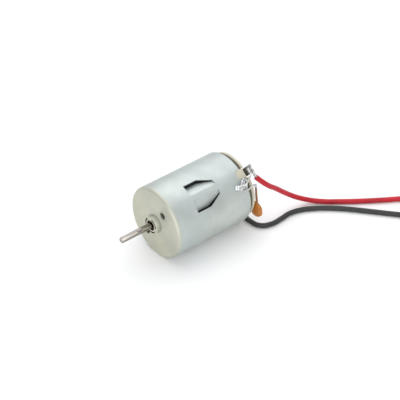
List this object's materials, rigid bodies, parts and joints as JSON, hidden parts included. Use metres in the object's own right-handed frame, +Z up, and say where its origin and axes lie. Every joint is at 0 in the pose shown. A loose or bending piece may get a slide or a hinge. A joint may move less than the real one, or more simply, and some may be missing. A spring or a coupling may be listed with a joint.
{
  "type": "small brushed electric motor",
  "caption": "Small round brushed motor in a louvred steel can, with a plain shaft, a cream end bell, a suppression capacitor and two insulated leads.",
  "frame": {"origin": "on the shaft's axis at the can's flat front face, which is the centre of the circle through the two mounting holes", "axes": "+X along the shaft, out of the front of the can; +Z up with the can lying on its side; the louvres and the positive terminal are 53 degrees up from +Y"},
  "size_m": [0.1238, 0.0784, 0.0242],
  "materials": {
    "zinc_steel": "satin zinc-plated drawn sheet, pale blue-grey",
    "sintered_bronze": "oil-soaked sintered bronze, matt brown",
    "ferrite": "fired ferrite, matt dark grey",
    "spring_steel": "satin",
    "cream_nylon": "moulded nylon, cream, low sheen",
    "plated_brass": "tin-plated, bright with dull patches",
    "phosphor_bronze": "rolled strip, satin",
    "carbon": "pressed carbon, matt",
    "capacitor_coat": "dipped epoxy, orange-brown, semi-gloss",
    "coated_leg": "tinned wire with a skirt of brown epoxy",
    "tinned_wire": "tinned copper, bright",
    "solder": "bright with a grainy crust",
    "ground_steel": "centreless-ground, bright",
    "silicon_steel": "stamped plates, dull grey",
    "insulator_board": "pressed board, dull red",
    "enamelled_copper": "enamelled wire, glossy copper-brown",
    "phenolic": "moulded phenolic, brown",
    "bare_copper": "turned copper, light wear",
    "red_pvc": "soft PVC insulation, satin red",
    "black_pvc": "soft PVC insulation, satin black",
    "tie_nylon": "natural nylon"
  },
  "bodies": {
    "motor_body": {"can": "zinc_steel", "front_bearing": "sintered_bronze", "magnet_left": "ferrite", "magnet_right": "ferrite", "magnet_spring": "spring_steel", "end_bell": "cream_nylon", "rear_bearing": "sintered_bronze", "terminal_positive": "plated_brass", "terminal_negative": "plated_brass", "capacitor": "capacitor_coat", "capacitor_can_leg": "coated_leg", "capacitor_negative_leg": "coated_leg", "ground_wire": "tinned_wire", "solder_positive": "solder", "solder_negative": "solder", "solder_can": "solder", "red_strands": "tinned_wire", "red_lead": "red_pvc", "red_coil": "red_pvc", "red_tie": "tie_nylon", "black_strands": "tinned_wire", "black_lead": "black_pvc", "black_coil": "black_pvc", "black_tie": "tie_nylon"},
    "rotor": {"shaft": "ground_steel", "laminations": "silicon_steel", "insulator_front": "insulator_board", "insulator_rear": "insulator_board", "winding_1": "enamelled_copper", "winding_2": "enamelled_copper", "winding_3": "enamelled_copper", "commutator_core": "phenolic", "commutator_bars": "bare_copper", "commutator_ring": "cream_nylon", "front_spacer": "insulator_board", "front_washer": "spring_steel", "rear_washer": "spring_steel"},
    "brush_arm_a": {"brush_arm_positive": "phosphor_bronze", "brush_positive": "carbon"},
    "brush_arm_b": {"brush_arm_negative": "phosphor_bronze", "brush_negative": "carbon"}
  },
  "joints": [
    {"name": "rotor_spin", "type": "hinge", "parent": "motor_body", "child": "rotor", "pos_m": [0, 0, 0], "axis": [1, 0, 0], "continuous": true},
    {"name": "brush_lift_positive", "type": "hinge", "parent": "motor_body", "child": "brush_arm_a", "pos_m": [-0.02464, 0.00392, 0.00769], "axis": [-1, 0, 0], "range_deg": [0, 6], "stiffness_Nm_per_rad": 0.004, "springref_deg": -14.9},
    {"name": "brush_lift_negative", "type": "hinge", "parent": "motor_body", "child": "brush_arm_b", "pos_m": [-0.02464, -0.00392, -0.00769], "axis": [-1, 0, 0], "range_deg": [0, 6], "stiffness_Nm_per_rad": 0.004, "springref_deg": -14.9}
  ]
}
